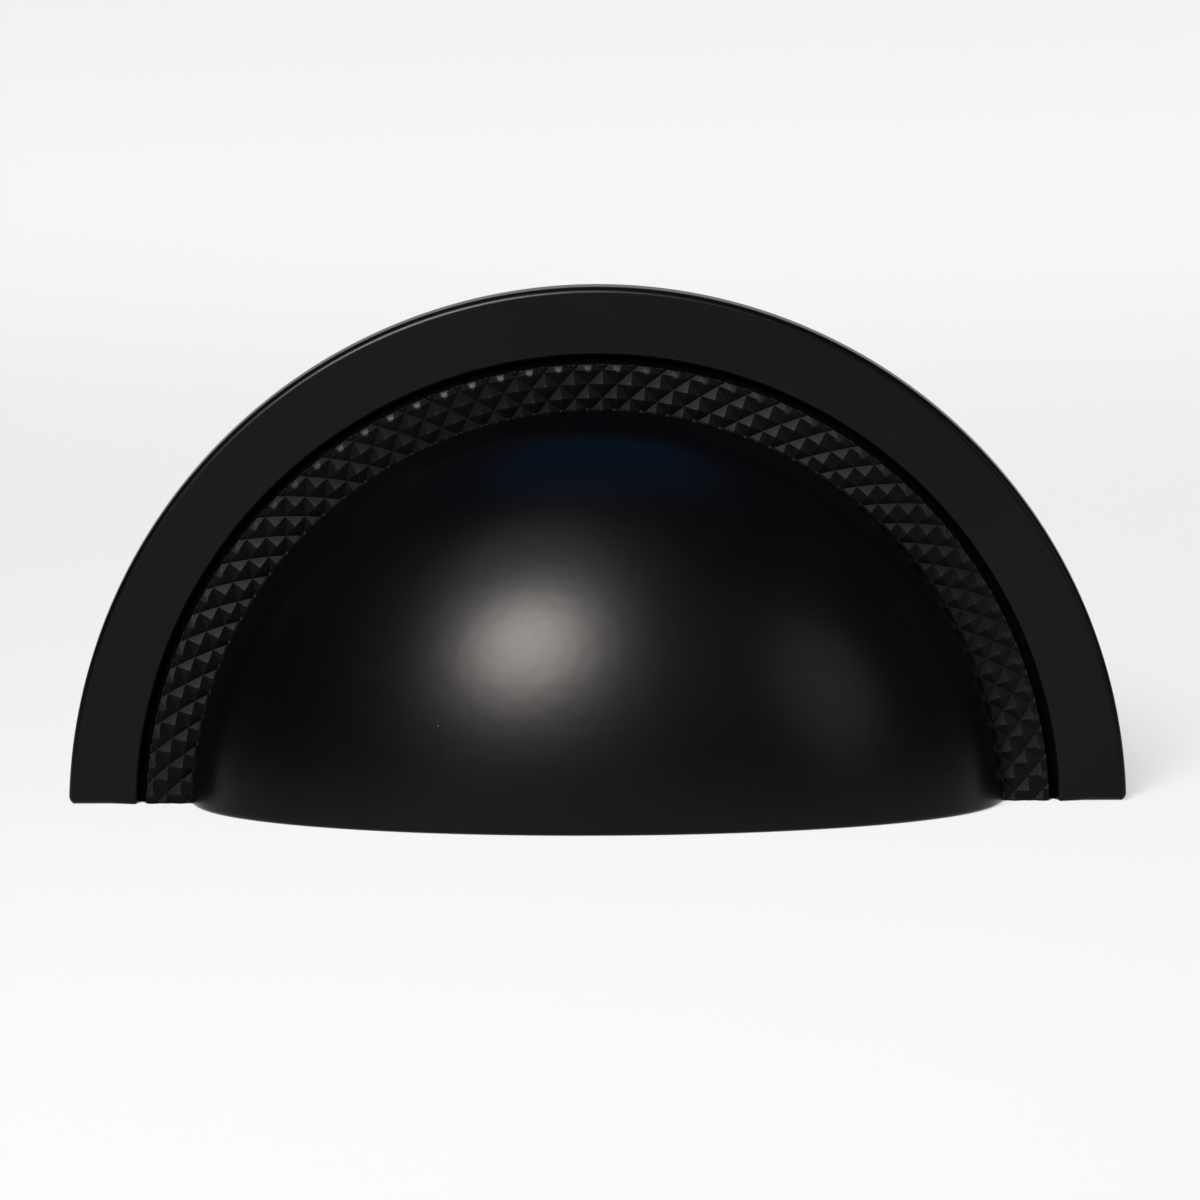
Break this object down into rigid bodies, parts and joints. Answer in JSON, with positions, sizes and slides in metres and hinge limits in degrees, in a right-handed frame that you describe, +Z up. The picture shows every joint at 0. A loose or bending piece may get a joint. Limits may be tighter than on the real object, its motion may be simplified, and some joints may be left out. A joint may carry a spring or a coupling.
{
  "type": "cup pull",
  "caption": "Half-moon cup pull for a drawer: flat flange, knurled band and hollow rounded cup cast in one piece, screwed on from behind.",
  "frame": {"origin": "midway between the two screw holes, on the flat back face", "axes": "+Y out of the back face, toward the drawer front it is fixed to; +X along the straight lower edge; +Z up, from the straight edge to the top of the arc"},
  "size_m": [0.096, 0.024, 0.047],
  "materials": {
    "black_paint": "satin"
  },
  "bodies": {
    "root": {"cup_pull": "black_paint"}
  },
  "joints": []
}
